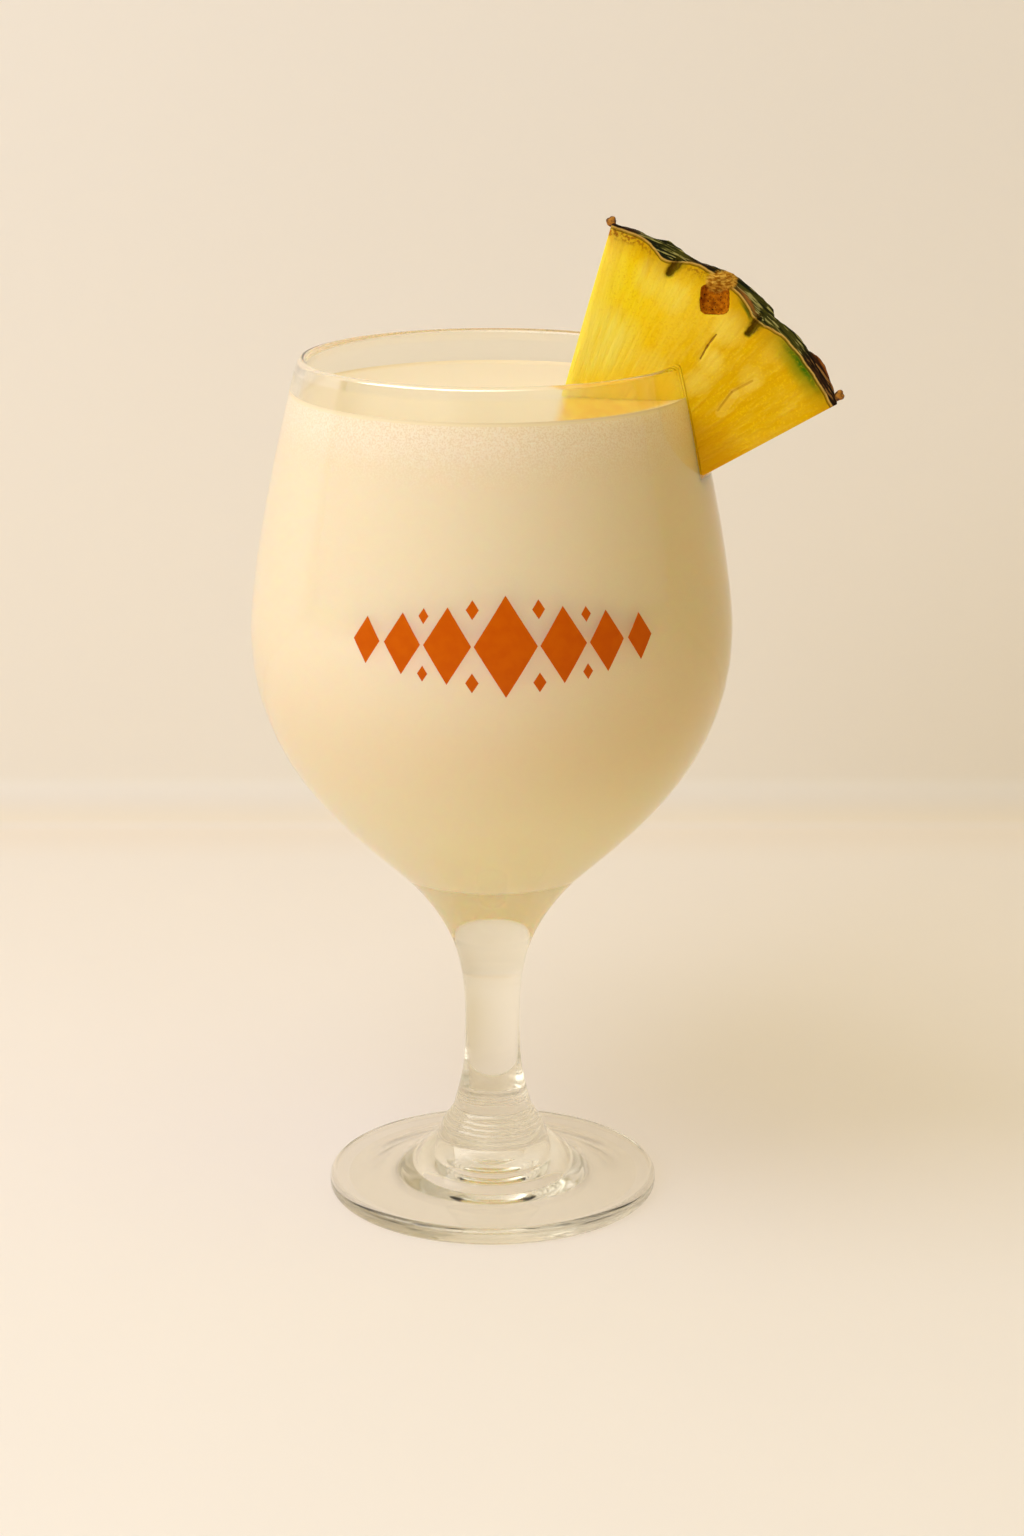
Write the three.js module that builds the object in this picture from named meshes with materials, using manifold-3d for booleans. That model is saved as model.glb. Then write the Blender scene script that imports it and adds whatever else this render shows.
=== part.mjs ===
// A pina colada: a stemmed goblet, the drink that fills it, and a wedge of fresh pineapple slotted
// over its rim. Millimetres, +Z up. Every piece is shaped about the goblet's own axis, and the whole
// is then moved sideways, so that the origin lies under the middle of its bounding box.

import * as THREE from 'three';
import { mergeVertices } from 'three/addons/utils/BufferGeometryUtils.js';
import Module from 'manifold-3d';

// General
const HEIGHT = 165; // the goblet, from the table to the top of its rim
const FACETS = 48; // round the goblet's axis
const GAP = 0.3; // kept between touching pieces

// Bowl of the goblet, as radii and heights of its outside. A reach is how far a sweep keeps to
// the direction that it has at its end.
const WALL = 2; // at the belly
const LIP = 0.95; // radius of the rounded rim
const RIM_RADIUS = 35.3; // middle of the rim's wall
const RIM_LEAN = 15.8; // degrees from upright
const BELLY_RADIUS = 45.7;
const BELLY_HEIGHT = 113;
const SHOULDER_REACH = 12.1; // from the rim down, and from the belly up
const BOWL_REACH = 28.3; // from the belly down
const HOLLOW_REACH = 27.5; // the same, inside
const BOWL_FLOOR = 69.6; // lowest point of the hollow
const BOWL_FLOOR_REACH = 18;
const LEVEL = 158.2; // top of the drink

// Stem
const NECK_RADIUS = 14.8; // where the bowl's round turns into the stem's flare
const NECK_HEIGHT = 62.2;
const NECK_SLOPE = 49.5; // degrees from level
const NECK_REACH_UP = 11;
const NECK_REACH_DOWN = 13;
const WAIST_RADIUS = 5.33;
const WAIST_HEIGHT = 33.2;
const WAIST_REACH_UP = 12.3;
const WAIST_REACH_DOWN = 7.35;
const COLLAR_RADIUS = 7.95; // where the stem meets the pressed rings
const COLLAR_HEIGHT = 15.6;
const COLLAR_SLOPE = 74.5; // degrees from level
const COLLAR_REACH = 8.6;
const RINGS = 3;
const RING_BULGE = 0.3;
const RINGS_END_RADIUS = 9.9;
const RINGS_END_HEIGHT = 12.9;

// Foot
const MOUND_TOP_RADIUS = 10.9;
const MOUND_TOP_HEIGHT = 10.8;
const MOUND_TOP_SLOPE = 52; // degrees from level
const MOUND_RADIUS = 17.9;
const MOUND_HEIGHT = 4.6;
const MOUND_SLOPE = 47; // degrees from level
const MOUND_REACH = 2.8;
const MOUND_FILLET = 1.7; // width of the round between the mound and the disc
const FOOT_RADIUS = 32.2;
const FOOT_EDGE = 3.4; // height of the disc's top at its edge
const EDGE_ROUND = 1.3;
const BEARING_INNER = 28.4; // the flat ring that the goblet stands on
const BEARING_OUTER = 30.9;
const HOLLOW_HEIGHT = 1.1; // of the shallow hollow inside the ring
const PUNT_RADIUS = 13.6; // of the deeper dimple in the middle
const PUNT_HEIGHT = 4.4;
const PUNT_LIP = 0.9; // bevel round the dimple

// Pineapple wedge: a sector of a slice, whose middle plane stands on a radius of the goblet
const SLICE_THICKNESS = 12;
const SLICE_RADIUS = 65.6; // to the inside of the rind
const SECTOR_START = 14.7; // degrees from upright, at the edge over the drink
const SECTOR_END = 61.1; // at the edge that hangs outside
const SWING = 6; // degrees that the slice turns towards the front
const LEAN = 8; // degrees that its top leans back
const PIVOT_HEIGHT = 160; // where the middle plane crosses the goblet's axis
const TIP_OUT = 5.4; // the slice's pointed tip, from that crossing
const TIP_DOWN = 35.2;

// Rind: rows of eyes that bulge, with grooves between them and a dry knob at each end
const RIND_THICKNESS = 1.2; // in the grooves
const EYE_BULGE_START = 0.8; // at the edge over the drink
const EYE_BULGE_END = 2.2; // at the edge that hangs outside
const EYE_PITCH = 16.8; // degrees along the rind
const EYE_MIDDLE = 35.6; // degrees from upright, of the eye in the middle of the wedge
const EYE_ROWS_APART = 15;
const EYE_ROW_OFFSET = -1.5; // of the middle row: its eyes are cut near their middle by the front face
const RIDGE_HEIGHT = 0.16;
const RIDGE_PITCH = 1.9;
const KNOB_HEIGHT = 0.9;
const KNOB_WIDTH = 1.5;
const RIND_STEPS = 52;
const THICKNESS_STEPS = 10;

// Hollow left by an eye in the front face, beside the rind
const PIT_RADIUS = 2.9;
const PIT_DEPTH = 2.2;
const PIT_DISTANCE = 62.8; // from the tip
const PIT_ANGLE = 35.1; // degrees from upright

const rad = THREE.MathUtils.degToRad;
const at = (radius, height) => new THREE.Vector2(radius, height);

// A handle of a sweep: its direction in degrees, anticlockwise from straight out, and its length.
const aim = (degrees, length) => at(Math.cos(rad(degrees)), Math.sin(rad(degrees))).multiplyScalar(length);

// Points of a smooth sweep between two points, each with a handle, leaving out the last one.
function sweep(start, leave, arrive, end, steps) {
  const curve = new THREE.CubicBezierCurve(start, start.clone().add(leave), end.clone().add(arrive), end);
  return curve.getPoints(steps).slice(0, -1);
}

// Points of an arc between two angles in degrees, leaving out the last one.
function arc(centre, radius, from, to, steps) {
  const curve = new THREE.EllipseCurve(centre.x, centre.y, radius, radius, rad(from), rad(to), to < from);
  return curve.getPoints(steps).slice(0, -1);
}

// A row of points moved sideways, to the right of its direction of travel.
function offset(points, distance) {
  return points.map((point, i) => {
    const before = points[Math.max(i - 1, 0)];
    const after = points[Math.min(i + 1, points.length - 1)];
    const along = after.clone().sub(before).normalize();
    return at(point.x + along.y * distance, point.y - along.x * distance);
  });
}

// An outline of radii and heights turned round the upright axis.
function turned(outline) {
  return new THREE.LatheGeometry(outline, FACETS).rotateX(Math.PI / 2);
}

const library = await Module();
library.setup();

function toSolid(geometry) {
  const bare = geometry.clone();
  bare.deleteAttribute('normal');
  bare.deleteAttribute('uv');
  const merged = mergeVertices(bare, 1e-3);
  return new library.Manifold(new library.Mesh({
    numProp: 3,
    vertProperties: merged.attributes.position.array,
    triVerts: new Uint32Array(merged.index.array),
  }));
}

function toGeometry(solid) {
  const mesh = solid.getMesh();
  const geometry = new THREE.BufferGeometry();
  geometry.setAttribute('position', new THREE.BufferAttribute(mesh.vertProperties, 3));
  geometry.setIndex(new THREE.BufferAttribute(mesh.triVerts, 1));
  geometry.computeVertexNormals();
  return geometry;
}

// Outlines of the goblet

const rimMiddle = at(RIM_RADIUS, HEIGHT - LIP);
const rimOutside = rimMiddle.clone().add(aim(RIM_LEAN, LIP));
const rimInside = rimMiddle.clone().sub(aim(RIM_LEAN, LIP));
const belly = at(BELLY_RADIUS, BELLY_HEIGHT);
const bellyInside = at(BELLY_RADIUS - WALL, BELLY_HEIGHT);
const neck = at(NECK_RADIUS, NECK_HEIGHT);
const waist = at(WAIST_RADIUS, WAIST_HEIGHT);
const collar = at(COLLAR_RADIUS, COLLAR_HEIGHT);

// The shoulder of the bowl from the belly up to the rim, outside, and back down to the belly, inside.
const shoulderEnd = aim(RIM_LEAN - 90, SHOULDER_REACH);
const shoulderStart = at(0, SHOULDER_REACH);
const outerShoulder = sweep(belly, shoulderStart, shoulderEnd, rimOutside, 7);
const lip = [...arc(rimMiddle, LIP, RIM_LEAN, 90, 3), ...arc(rimMiddle, LIP, 90, RIM_LEAN + 180, 3)];
const innerShoulder = sweep(rimInside, shoulderEnd, shoulderStart, bellyInside, 6);

// From the belly down to the middle of the bowl's floor.
const innerBasin = [
  ...sweep(bellyInside, at(0, -HOLLOW_REACH), at(BOWL_FLOOR_REACH, 0), at(0, BOWL_FLOOR), 10),
  at(0, BOWL_FLOOR),
];

// The underside: a dimple in the middle, a shallow hollow, and the ring that the goblet stands on.
function underside() {
  const puntEdge = at(PUNT_RADIUS - PUNT_LIP, HOLLOW_HEIGHT + PUNT_LIP);
  return [
    ...sweep(at(0, PUNT_HEIGHT), at(PUNT_RADIUS / 2, 0), aim(105, PUNT_HEIGHT / 2), puntEdge, 5),
    puntEdge,
    at(PUNT_RADIUS, HOLLOW_HEIGHT),
    at(BEARING_INNER - HOLLOW_HEIGHT, HOLLOW_HEIGHT / 2),
    at(BEARING_INNER, 0),
    at(BEARING_OUTER, 0),
  ];
}

const moundFoot = at(MOUND_RADIUS, MOUND_HEIGHT);

// The rounded edge of the foot, and its top as far as the mound round the stem.
function footTop() {
  const roundStart = FOOT_RADIUS - EDGE_ROUND;
  const filletStart = at(MOUND_RADIUS + MOUND_FILLET, MOUND_HEIGHT - MOUND_FILLET / 3);
  const filletReach = MOUND_FILLET / 2;
  return [
    ...arc(at(roundStart, EDGE_ROUND), EDGE_ROUND, -60, 0, 2),
    ...arc(at(roundStart, FOOT_EDGE - EDGE_ROUND), EDGE_ROUND, 0, 90, 4),
    at(roundStart, FOOT_EDGE),
    ...sweep(filletStart, at(-filletReach, 0), aim(-MOUND_SLOPE, filletReach), moundFoot, 2),
  ];
}

// The mound, the pressed rings above it, the stem, and the bowl's round up to the belly.
function moundToBelly() {
  const moundTop = at(MOUND_TOP_RADIUS, MOUND_TOP_HEIGHT);
  const ringsEnd = at(RINGS_END_RADIUS, RINGS_END_HEIGHT);
  const moundStart = aim(180 - MOUND_SLOPE, MOUND_REACH);
  const moundEnd = aim(-MOUND_TOP_SLOPE, MOUND_REACH);
  const points = [...sweep(moundFoot, moundStart, moundEnd, moundTop, 3), moundTop];
  const step = collar.clone().sub(ringsEnd).divideScalar(RINGS);
  const outward = at(step.y, -step.x).setLength((RING_BULGE * 4) / 3);
  for (let i = 0; i < RINGS; i++) {
    const start = ringsEnd.clone().addScaledVector(step, i);
    points.push(...sweep(start, outward, outward, start.clone().add(step), 3));
  }
  return [
    ...points,
    ...sweep(collar, aim(180 - COLLAR_SLOPE, COLLAR_REACH), at(0, -WAIST_REACH_DOWN), waist, 5),
    ...sweep(waist, at(0, WAIST_REACH_UP), aim(NECK_SLOPE - 180, NECK_REACH_DOWN), neck, 6),
    ...sweep(neck, aim(NECK_SLOPE, NECK_REACH_UP), at(0, -BOWL_REACH), belly, 9),
  ];
}

function gobletGeometry() {
  const foot = [...underside(), ...footTop()];
  return turned([...foot, ...moundToBelly(), ...outerShoulder, ...lip, ...innerShoulder, ...innerBasin]);
}

// The goblet's upper wall, made thicker by the gap on every side: it cuts the slot in the wedge.
function slotGeometry() {
  const wall = offset([...outerShoulder, ...lip, ...innerShoulder, bellyInside], GAP);
  return turned([...wall, wall[0]]);
}

// Pineapple wedge

const sliceSeat = new THREE.Object3D();
sliceSeat.rotation.set(rad(-LEAN), 0, rad(-SWING), 'ZYX');
sliceSeat.position.z = PIVOT_HEIGHT;
sliceSeat.updateMatrix();

// A point of the slice from its distance to a tip, its angle from upright and its depth, where
// depth runs from the front face to the back.
function slicePoint(distance, angle, depth, tip = at(TIP_OUT, -TIP_DOWN)) {
  const out = distance * Math.sin(rad(angle));
  const up = distance * Math.cos(rad(angle));
  return new THREE.Vector3(tip.x + out, depth, tip.y + up);
}

// How far an eye's boss stands out of the grooves, from 0 to 1. The eyes lie in rows, each row
// half a pitch along from the next, and a groove runs where two eyes are equally near.
function eyeBoss(angle, depth) {
  const pitch = rad(EYE_PITCH) * SLICE_RADIUS;
  const along = rad(angle - EYE_MIDDLE) * SLICE_RADIUS;
  const distances = [];
  for (let row = -1; row <= 1; row++) {
    for (let i = -3; i <= 3; i++) {
      const eyeAlong = (i + Math.abs(row) / 2) * pitch;
      const eyeDepth = EYE_ROW_OFFSET + row * EYE_ROWS_APART;
      distances.push(Math.hypot(along - eyeAlong, depth - eyeDepth));
    }
  }
  distances.sort((a, b) => a - b);
  const fromGroove = (distances[1] - distances[0]) / pitch;
  return Math.sqrt(Math.min(1, fromGroove));
}

function rindDistance(angle, depth) {
  const share = (angle - SECTOR_START) / (SECTOR_END - SECTOR_START);
  const bulge = THREE.MathUtils.lerp(EYE_BULGE_START, EYE_BULGE_END, share);
  const ridges = RIDGE_HEIGHT * Math.sin((2 * Math.PI * (depth + angle / 9)) / RIDGE_PITCH);
  let knobs = 0;
  for (const end of [SECTOR_START, SECTOR_END]) {
    const away = Math.hypot(rad(angle - end) * SLICE_RADIUS, depth + SLICE_THICKNESS / 2 - KNOB_WIDTH);
    knobs += KNOB_HEIGHT * Math.exp(-((away / KNOB_WIDTH) ** 2));
  }
  return SLICE_RADIUS + RIND_THICKNESS + bulge * eyeBoss(angle, depth) + ridges + knobs;
}

// The wedge before its slot is cut: two flat faces, two flat cut edges and the rind. Margin makes
// the whole that much larger, without the rind's relief.
function wedgeGeometry(margin = 0) {
  const half = SLICE_THICKNESS / 2 + margin;
  const halfSpan = (SECTOR_END - SECTOR_START) / 2;
  const moved = slicePoint(-margin / Math.sin(rad(halfSpan)), SECTOR_START + halfSpan, 0);
  const apex = at(moved.x, moved.z);
  const tip = (depth) => slicePoint(0, 0, depth, apex);
  const positions = [];
  const add = (...corners) => corners.forEach((corner) => positions.push(...corner));
  const rind = [];
  for (let i = 0; i <= RIND_STEPS; i++) {
    const angle = SECTOR_START + ((SECTOR_END - SECTOR_START) * i) / RIND_STEPS;
    const column = [];
    for (let j = 0; j <= THICKNESS_STEPS; j++) {
      const depth = half * ((2 * j) / THICKNESS_STEPS - 1);
      const distance = margin ? SLICE_RADIUS : rindDistance(angle, depth);
      column.push(slicePoint(distance, angle, depth, apex));
    }
    rind.push(column);
  }
  const last = THICKNESS_STEPS;
  for (let i = 0; i < RIND_STEPS; i++) {
    for (let j = 0; j < last; j++) {
      add(rind[i][j], rind[i + 1][j], rind[i + 1][j + 1]);
      add(rind[i][j], rind[i + 1][j + 1], rind[i][j + 1]);
    }
    add(tip(-half), rind[i + 1][0], rind[i][0]);
    add(tip(half), rind[i][last], rind[i + 1][last]);
  }
  for (let j = 0; j < last; j++) {
    add(tip(half), rind[0][j], rind[0][j + 1]);
    add(tip(half), rind[RIND_STEPS][j + 1], rind[RIND_STEPS][j]);
  }
  add(tip(half), tip(-half), rind[0][0]);
  add(tip(half), rind[RIND_STEPS][0], tip(-half));
  const geometry = new THREE.BufferGeometry();
  geometry.setAttribute('position', new THREE.Float32BufferAttribute(positions, 3));
  return geometry.applyMatrix4(sliceSeat.matrix);
}

function pitGeometry() {
  const middle = slicePoint(PIT_DISTANCE, PIT_ANGLE, -SLICE_THICKNESS / 2);
  return new THREE.SphereGeometry(1, 14, 10)
    .scale(PIT_RADIUS, PIT_DEPTH, PIT_RADIUS)
    .translate(middle.x, middle.y, middle.z)
    .applyMatrix4(sliceSeat.matrix);
}

function slottedWedge() {
  const wedge = toSolid(wedgeGeometry()).subtract(toSolid(pitGeometry()));
  return toGeometry(wedge.subtract(toSolid(slotGeometry())));
}

// The drink fills the bowl up to its level, and is cut round the wedge that dips into it.
function drinkGeometry() {
  const wall = offset([...innerShoulder, ...innerBasin], GAP);
  const floor = at(0, BOWL_FLOOR + GAP);
  const below = wall.filter((point) => point.y < LEVEL).slice(0, -1);
  const above = wall[wall.length - below.length - 2];
  const share = (LEVEL - below[0].y) / (above.y - below[0].y);
  const edge = below[0].clone().lerp(above, share);
  const full = turned([floor, ...below.reverse(), edge, at(0, LEVEL)]);
  return toGeometry(toSolid(full).subtract(toSolid(wedgeGeometry(GAP))));
}

const clear = { transparent: true, opacity: 0.35 };
const finishes = {
  glass: new THREE.MeshStandardMaterial({ color: 0xf3ecdc, roughness: 0.05, metalness: 0, ...clear }),
  drink: new THREE.MeshStandardMaterial({ color: 0xf3e0bd, roughness: 0.45, metalness: 0 }),
  pineapple: new THREE.MeshStandardMaterial({ color: 0xeec43a, roughness: 0.5, metalness: 0 }),
};

function piece(name, geometry, material) {
  const mesh = new THREE.Mesh(geometry, material);
  mesh.name = name;
  return mesh;
}

const goblet = new THREE.Group();
goblet.add(
  piece('glass', gobletGeometry(), finishes.glass),
  piece('drink', drinkGeometry(), finishes.drink),
  piece('pineapple_wedge', slottedWedge(), finishes.pineapple),
);

const extent = new THREE.Box3().setFromObject(goblet);
const middle = extent.getCenter(new THREE.Vector3());
goblet.position.set(-middle.x, -middle.y, -extent.min.z);

const pinaColada = new THREE.Group();
pinaColada.add(goblet);

export default pinaColada;
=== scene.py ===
# %% [markdown]
# This scene dresses a pina colada: a stemmed goblet, the creamy drink that fills it, and a wedge of fresh
# pineapple on its rim. The three solids come packed, in metres, with the goblet standing on the floor at
# z = 0. Each is replaced by a finer piece of the same form, so everything below takes its place from them.

import math

import bmesh
import bpy
import numpy as np
from mathutils import Euler, Matrix, Vector, noise


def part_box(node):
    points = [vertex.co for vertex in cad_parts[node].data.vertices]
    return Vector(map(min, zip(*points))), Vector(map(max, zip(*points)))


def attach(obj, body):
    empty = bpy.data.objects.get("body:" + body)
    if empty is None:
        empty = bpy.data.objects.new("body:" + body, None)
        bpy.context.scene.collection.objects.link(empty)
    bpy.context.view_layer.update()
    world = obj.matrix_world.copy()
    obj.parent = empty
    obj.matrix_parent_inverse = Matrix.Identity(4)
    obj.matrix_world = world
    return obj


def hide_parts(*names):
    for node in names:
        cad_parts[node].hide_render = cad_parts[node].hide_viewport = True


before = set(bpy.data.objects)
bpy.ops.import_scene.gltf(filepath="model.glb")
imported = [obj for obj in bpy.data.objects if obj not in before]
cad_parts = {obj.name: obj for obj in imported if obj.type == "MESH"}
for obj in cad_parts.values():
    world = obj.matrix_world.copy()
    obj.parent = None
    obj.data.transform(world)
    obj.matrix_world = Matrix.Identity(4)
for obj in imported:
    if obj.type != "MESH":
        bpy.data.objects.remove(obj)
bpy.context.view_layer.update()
MM = 0.001
glass_low, glass_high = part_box("glass")
AXIS = (glass_low.x + glass_high.x) / 2
HEIGHT = glass_high.z
print(f"goblet {HEIGHT / MM:.1f} mm tall, its axis at x = {AXIS / MM:.2f} mm")

# %% [markdown]
# The photograph was taken from a little above, with a long lens. A camera in Blender needs a place, a turn
# and a focal length: these were fitted to the ellipses of the rim and the foot, so the goblet's proportions
# on the picture are true.

# %% Camera
CAMERA_PLACE = Vector((AXIS + 3.839 * MM, -637.073 * MM, 264.325 * MM))
CAMERA_DOWN = math.radians(15.685)
CAMERA_LENS = 80.68
CAMERA_SENSOR = 36
bpy.ops.object.camera_add(location=CAMERA_PLACE, rotation=(math.pi / 2 - CAMERA_DOWN, 0, 0))
camera = bpy.context.object
camera.data.lens = CAMERA_LENS
camera.data.sensor_width = CAMERA_SENSOR
bpy.context.scene.camera = camera

# %% [markdown]
# Operators act on whatever is selected. A new object comes selected by itself. These few helpers pick an older
# one, open it in edit mode with nothing selected, select its vertices by their place, and close its skin.

# %% Helpers for modelling
def pick(*pieces):
    """Selects only these objects and makes the first one active."""
    bpy.ops.object.select_all(action="DESELECT")
    for piece in pieces:
        piece.select_set(True)
    bpy.context.view_layer.objects.active = pieces[0]


def select_all(action="SELECT"):
    """Selects or deselects the whole mesh that is being edited."""
    bpy.ops.mesh.select_all(action=action)


def edit(piece, kind="VERT"):
    """Opens a mesh in edit mode with nothing selected."""
    pick(piece)
    bpy.ops.object.mode_set(mode="EDIT")
    bpy.ops.mesh.select_mode(type=kind)
    select_all("DESELECT")


def select_where(piece, test, kind="verts"):
    """In edit mode, selects the vertices, edges or faces that pass the test."""
    shape = bmesh.from_edit_mesh(piece.data)
    for part in getattr(shape, kind):
        if test(part):
            part.select_set(True)
    shape.select_flush_mode()
    bmesh.update_edit_mesh(piece.data)


def close_skin(weld):
    """In edit mode, welds vertices no further apart than that, and turns all faces outwards."""
    select_all()
    bpy.ops.mesh.remove_doubles(threshold=weld)
    select_all()
    bpy.ops.mesh.normals_make_consistent(inside=False)


def close_edit(piece):
    """Leaves edit mode and shades the piece smooth."""
    bpy.ops.object.mode_set(mode="OBJECT")
    bpy.ops.object.shade_smooth()
    print(f"{piece.name}: {len(piece.data.polygons)} faces")


def apply_modifiers(piece):
    pick(piece)
    for modifier in list(piece.modifiers):
        bpy.ops.object.modifier_apply(modifier=modifier.name)


def read_places(piece):
    """The places of all vertices as rows of x, y, z."""
    places = np.empty(len(piece.data.vertices) * 3)
    piece.data.vertices.foreach_get("co", places)
    return places.reshape(-1, 3)


def write_places(piece, places):
    piece.data.vertices.foreach_set("co", places.ravel())
    piece.data.update()


# %% [markdown]
# The goblet is a turned form, so only its outline has to be drawn. A Bezier curve suits it: a few knots, each
# with two handles, give long even sweeps. The curve becomes a mesh, and Spin carries it round the axis.

# %% Helpers for turned pieces
def at(radius, height):
    """A point of the outline."""
    return Vector((AXIS + radius, 0, height))


def aim(degrees, reach):
    """A handle: its direction, anticlockwise from straight out, and its length."""
    turn = math.radians(degrees)
    return Vector((math.cos(turn), 0, math.sin(turn))) * reach


def sweep(leave, arrive, end):
    """A stretch of an outline: the handle that leaves its start, the one at its end, and the end."""
    return leave, arrive, end


def line(end):
    """A straight stretch."""
    return Vector(), Vector(), end


def arc(radius, centre, start, stop):
    """A stretch that keeps its distance to a centre, from one angle to another."""
    reach = 4 / 3 * math.tan(math.radians(stop - start) / 4) * radius
    return aim(start + 90, reach), aim(stop - 90, reach), centre + aim(stop, radius)


def draw_outline(name, start, stretches, steps):
    """A mesh line through the stretches, with that many steps in each."""
    bpy.ops.curve.primitive_bezier_curve_add(location=(0, 0, 0))
    curve = bpy.context.object
    curve.name = name
    spline = curve.data.splines[0]
    spline.resolution_u = steps
    spline.bezier_points.add(len(stretches) - 1)
    ends = [start] + [end for leave, arrive, end in stretches]
    for knot, place in zip(spline.bezier_points, ends):
        knot.handle_left_type = knot.handle_right_type = "FREE"
        knot.co = knot.handle_left = knot.handle_right = place
    for i, (leave, arrive, end) in enumerate(stretches):
        spline.bezier_points[i].handle_right = ends[i] + leave
        spline.bezier_points[i + 1].handle_left = end + arrive
    bpy.ops.object.convert(target="MESH")
    return bpy.context.object


TURN_STEPS = 240


def turn_round(outline):
    """Spins an outline round the goblet's axis into a closed skin."""
    edit(outline)
    select_all()
    bpy.ops.mesh.spin(steps=TURN_STEPS, angle=2 * math.pi, center=(AXIS, 0, 0), axis=(0, 0, 1))
    close_skin(weld=0.004 * MM)
    close_edit(outline)
    return outline


# %% [markdown]
# The goblet's own outline starts under the foot: a dimple in three steps that the press leaves, a shallow
# hollow, and the ring that it stands on. It runs round the foot's edge, over the mound, up the three pressed
# rings and the stem, out to the belly, over the rounded rim, and down inside to the bowl's thick floor.

# %% Underside and foot
DIMPLE_TOP = 4.4 * MM
DIMPLE_SLOPE = 38
# Each step's width, then the radius and the height at which it ends
DIMPLE_STEPS = [(4.6 * MM, 4.6 * MM, 3.9 * MM), (4.4 * MM, 9.0 * MM, 2.9 * MM), (3.7 * MM, 12.7 * MM, 1.5 * MM)]
DIMPLE_LIP = 0.9 * MM
DIMPLE_RADIUS = 13.6 * MM
HOLLOW_HEIGHT = 1.1 * MM
HOLLOW_REACH_OUT = 9 * MM
HOLLOW_REACH_IN = 4.5 * MM
BEARING_INNER = 28.4 * MM
BEARING_OUTER = 30.9 * MM
FOOT_EDGE = 3.4 * MM
EDGE_ROUND = 1.3 * MM
MOUND_FOOT = at(24.2 * MM, 3.6 * MM)
MOUND_FLANK = at(15.9 * MM, 6.45 * MM)
MOUND_SLOPE = 41
MOUND_FILLET = 3.2 * MM

underside = [
    *[sweep(aim(-4, width / 2), aim(180 - DIMPLE_SLOPE, width / 4), at(radius, height))
      for width, radius, height in DIMPLE_STEPS],
    sweep(aim(-DIMPLE_SLOPE, DIMPLE_LIP / 3), aim(180, DIMPLE_LIP / 3), at(DIMPLE_RADIUS, HOLLOW_HEIGHT)),
    sweep(aim(0, HOLLOW_REACH_OUT), aim(180, HOLLOW_REACH_IN), at(BEARING_INNER, 0)),
    line(at(BEARING_OUTER, 0)),
]
foot_top = [
    arc(EDGE_ROUND, at(BEARING_OUTER, EDGE_ROUND), -90, 0),
    line(at(BEARING_OUTER + EDGE_ROUND, FOOT_EDGE - EDGE_ROUND)),
    arc(EDGE_ROUND, at(BEARING_OUTER, FOOT_EDGE - EDGE_ROUND), 0, 90),
    line(MOUND_FOOT),
    sweep(aim(179, 1.5 * MOUND_FILLET), aim(-MOUND_SLOPE, MOUND_FILLET), MOUND_FLANK),
]

# %% Mound, rings and stem
MOUND_TOP = at(10.9 * MM, 10.8 * MM)
MOUND_TOP_SLOPE = 52
MOUND_REACH = 2.1 * MM
RINGS = 3
RING_BULGE = 0.2 * MM
RINGS_END = at(9.9 * MM, 12.9 * MM)
COLLAR = at(7.95 * MM, 15.6 * MM)
COLLAR_SLOPE = 74.5
COLLAR_REACH = 8.6 * MM
WAIST = at(5.33 * MM, 33.2 * MM)
WAIST_REACH_UP = 12.3 * MM
WAIST_REACH_DOWN = 7.35 * MM
NECK = at(14.8 * MM, 62.2 * MM)
NECK_SLOPE = 49.5
NECK_REACH_UP = 11 * MM
NECK_REACH_DOWN = 13 * MM

ring_step = (COLLAR - RINGS_END) / RINGS
ring_out = Vector((ring_step.z, 0, -ring_step.x)).normalized() * RING_BULGE * 4 / 3
stem = [
    sweep(aim(180 - MOUND_SLOPE, MOUND_REACH), aim(-MOUND_TOP_SLOPE, MOUND_REACH), MOUND_TOP),
    line(RINGS_END),
    *[sweep(ring_out, ring_out, RINGS_END + ring_step * (i + 1)) for i in range(RINGS)],
    sweep(aim(180 - COLLAR_SLOPE, COLLAR_REACH), aim(-90, WAIST_REACH_DOWN), WAIST),
    sweep(aim(90, WAIST_REACH_UP), aim(NECK_SLOPE - 180, NECK_REACH_DOWN), NECK),
]

# %% Bowl and rim
WALL = 2 * MM
LIP = 0.95 * MM
RIM_MIDDLE = at(35.3 * MM, HEIGHT - LIP)
RIM_LEAN = 15.8
BELLY = at(45.7 * MM, 113 * MM)
BELLY_INSIDE = BELLY - aim(0, WALL)
SHOULDER_REACH = 12.1 * MM
BOWL_REACH = 28.3 * MM
INSIDE_REACH = 27.5 * MM
FLOOR = at(0, 69.6 * MM)
FLOOR_REACH = 18 * MM

shoulder_end = aim(RIM_LEAN - 90, SHOULDER_REACH)
shoulder = [
    sweep(aim(90, SHOULDER_REACH), shoulder_end, RIM_MIDDLE + aim(RIM_LEAN, LIP)),
    arc(LIP, RIM_MIDDLE, RIM_LEAN, 90),
    arc(LIP, RIM_MIDDLE, 90, RIM_LEAN + 180),
]
shoulder_inside = sweep(shoulder_end, aim(90, SHOULDER_REACH), BELLY_INSIDE)
basin_inside = sweep(aim(-90, INSIDE_REACH), aim(0, FLOOR_REACH), FLOOR)
bowl = [sweep(aim(NECK_SLOPE, NECK_REACH_UP), aim(-90, BOWL_REACH), BELLY), *shoulder]

OUTLINE_STEPS = 15
outline = underside + foot_top + stem + bowl + [shoulder_inside, basin_inside]
goblet = turn_round(draw_outline("goblet", at(0, DIMPLE_TOP), outline, OUTLINE_STEPS))

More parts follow.
